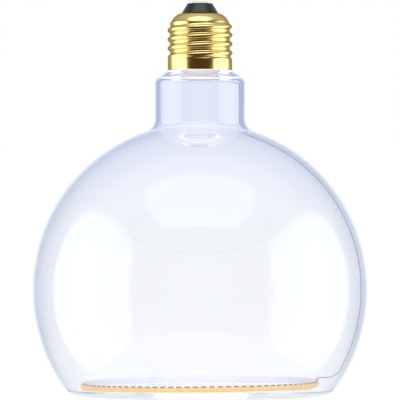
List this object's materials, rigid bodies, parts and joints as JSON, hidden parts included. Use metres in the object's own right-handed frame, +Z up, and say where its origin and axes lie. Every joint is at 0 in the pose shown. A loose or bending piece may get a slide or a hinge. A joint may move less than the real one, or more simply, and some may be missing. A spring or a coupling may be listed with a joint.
{
  "type": "globe light bulb",
  "caption": "Clear glass globe bulb with a flat bottom, a wide straight neck and a brass screw cap; a yellow light strip lies as a ring on the inside of the bottom.",
  "frame": {"origin": "centre of the flat glass bottom that the bulb stands on", "axes": "+Z up along the bulb's axis, from the flat bottom to the screw cap; +X towards the ends of the light strip and its leads"},
  "size_m": [0.135, 0.135, 0.1593],
  "materials": {
    "clear_glass": "clear blown glass, smooth, with a faint blue cast",
    "cap_brass": "bright rolled brass sheet",
    "insulator_black": "glossy black",
    "contact_metal": "dull tinned metal",
    "cement": "matt pale paste",
    "seal_silicone": "smooth milky white",
    "board_laminate": "green lacquered laminate",
    "package_black": "moulded matt black",
    "can_aluminium": "drawn can",
    "resistor_body": "lacquered ceramic",
    "tinned_wire": "tinned copper",
    "strip_ribbon": "white flexible film",
    "chip_body": "small pale blocks",
    "phosphor": "yellow-orange silicone bead",
    "strip_copper": "dark copper pads"
  },
  "bodies": {
    "root": {"glass_envelope": "clear_glass", "screw_shell": "cap_brass", "cap_insulator": "insulator_black", "centre_contact": "contact_metal", "cap_cement": "cement", "neck_seal": "seal_silicone", "driver_board": "board_laminate", "bridge_rectifier": "package_black", "driver_chip": "package_black", "sense_resistors": "package_black", "smoothing_capacitor": "can_aluminium", "fusible_resistor": "resistor_body", "live_lead": "tinned_wire", "neutral_lead": "tinned_wire", "strip_carrier": "strip_ribbon", "led_chips": "chip_body", "phosphor_coat": "phosphor", "strip_pads": "strip_copper", "strip_terminal_positive": "tinned_wire", "strip_terminal_negative": "tinned_wire", "lead_wire_positive": "tinned_wire", "lead_wire_negative": "tinned_wire"}
  },
  "joints": []
}
